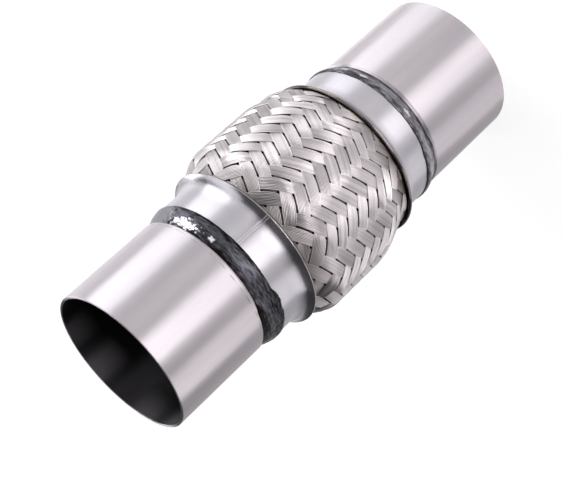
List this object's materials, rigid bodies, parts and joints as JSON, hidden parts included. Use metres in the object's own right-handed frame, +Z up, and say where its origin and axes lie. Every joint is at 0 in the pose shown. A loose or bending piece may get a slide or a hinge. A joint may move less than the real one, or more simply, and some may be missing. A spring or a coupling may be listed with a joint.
{
  "type": "exhaust flex pipe",
  "caption": "Straight exhaust flex pipe: a barrel of braided steel wire over a bellows, held in flared collars, with a plain extension pipe welded to each end.",
  "frame": {"origin": "centre of the lower mouth, in the plane that the pipe stands on", "axes": "+Z up along the pipe's axis, from the lower mouth to the upper; -Y is the front"},
  "size_m": [0.0844, 0.0844, 0.2032],
  "materials": {
    "pipe_steel": "satin, drawn along the tube",
    "collar_steel": "smooth rolled strip",
    "weld_metal": "as welded, dark and uneven",
    "ring_steel": "plain rolled strip",
    "bellows_steel": "bright cold formed sheet",
    "liner_wire": "braided wire",
    "braid_wire": "bright braided wire"
  },
  "bodies": {
    "root": {"upper_pipe": "pipe_steel", "lower_pipe": "pipe_steel", "upper_collar": "collar_steel", "lower_collar": "collar_steel", "upper_weld": "weld_metal", "lower_weld": "weld_metal", "upper_inner_ring": "ring_steel", "lower_inner_ring": "ring_steel", "bellows": "bellows_steel", "inner_braid": "liner_wire", "outer_braid": "braid_wire"}
  },
  "joints": []
}
